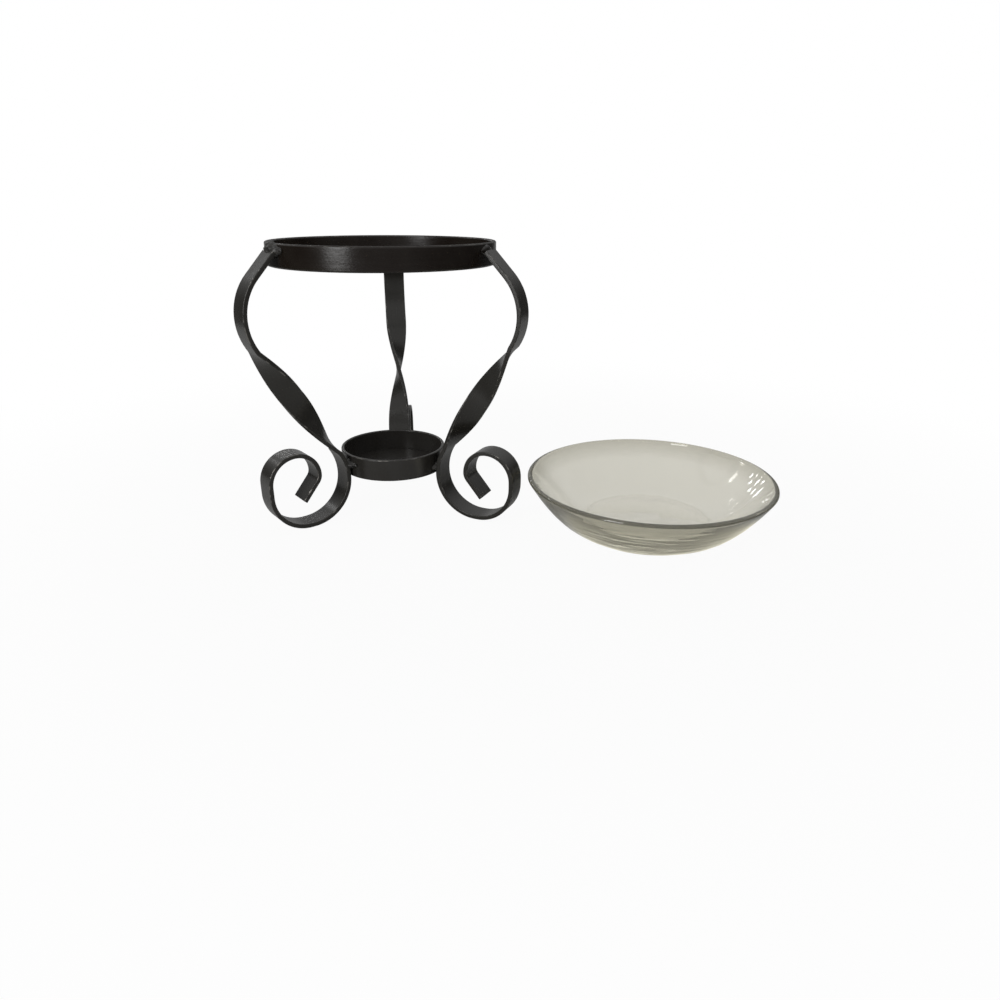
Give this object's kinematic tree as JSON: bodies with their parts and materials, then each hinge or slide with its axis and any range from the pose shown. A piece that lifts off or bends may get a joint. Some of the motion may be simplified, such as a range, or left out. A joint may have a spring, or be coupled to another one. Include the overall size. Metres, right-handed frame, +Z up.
{
  "type": "oil warmer",
  "caption": "Wrought-iron oil warmer: twisted, scrolled bar legs carry a ring for a dish and a cup for a tealight, with the clear glass dish set down beside the stand.",
  "frame": {"origin": "on the floor, under the middle of the box round the stand and the dish", "axes": "+X to the dish's side, along the set's longest extent, +Y to the rear leg's side, +Z up"},
  "size_m": [0.238, 0.1738, 0.127],
  "materials": {
    "black_iron": "semi-gloss brown-black paint over bent flat bar",
    "weld_metal": "the same paint, rougher over the lumps of weld",
    "clear_glass": "clear pressed glass with a faint green edge and slight waves"
  },
  "bodies": {
    "stand": {"top_ring": "black_iron", "cup_wall": "black_iron", "cup_floor": "black_iron", "leg_rear": "black_iron", "leg_left": "black_iron", "leg_right": "black_iron", "ring_weld_rear": "weld_metal", "ring_weld_left": "weld_metal", "ring_weld_right": "weld_metal", "cup_weld_rear": "weld_metal", "cup_weld_left": "weld_metal", "cup_weld_right": "weld_metal"},
    "dish": {"glass_dish": "clear_glass"}
  },
  "joints": [
    {"name": "dish_lift", "type": "slide", "parent": "stand", "child": "dish", "axis": [0, 0, 1], "range_m": [0, 0.14]}
  ]
}
